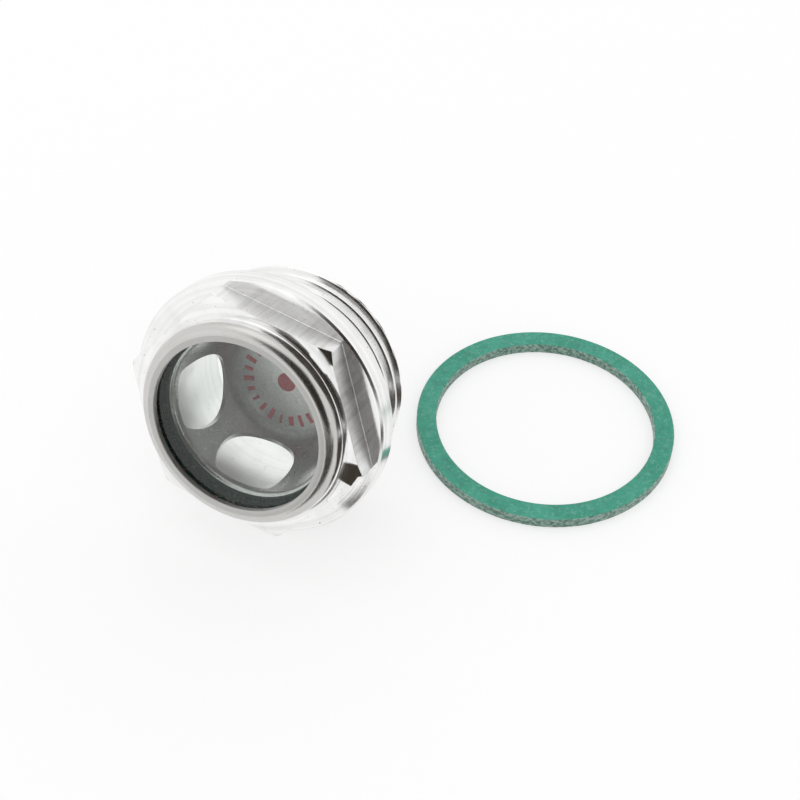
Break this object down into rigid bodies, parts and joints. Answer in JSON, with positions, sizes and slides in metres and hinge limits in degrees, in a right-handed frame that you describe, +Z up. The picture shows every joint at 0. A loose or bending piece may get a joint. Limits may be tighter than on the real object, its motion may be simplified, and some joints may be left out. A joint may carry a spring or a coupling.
{
  "type": "oil level sight plug",
  "caption": "Hexagon screw plug with a round glass window over a reflector dish, for reading the oil level in a hydraulic tank, with its flat sealing washer beside it.",
  "frame": {"origin": "centre of the bottom of the box around plug and washer, on the floor they lie on", "axes": "+Z up from the floor; the plug's axis lies in the YZ plane, its window faces -Y and up, and the washer lies flat towards +X and +Y"},
  "size_m": [0.0706, 0.0626, 0.0378],
  "materials": {
    "turned_aluminium": "bright turned, satin lip",
    "window_glass": "clear, faint green at the edge",
    "seal_rubber": "matt dark green",
    "polished_sheet": "bright drawn sheet, red print",
    "green_fibre": "compressed fibre, green with pale fibres"
  },
  "bodies": {
    "root": {"body": "turned_aluminium", "glass": "window_glass", "glass_seal": "seal_rubber", "reflector": "polished_sheet", "sealing_washer": "green_fibre"}
  },
  "joints": []
}
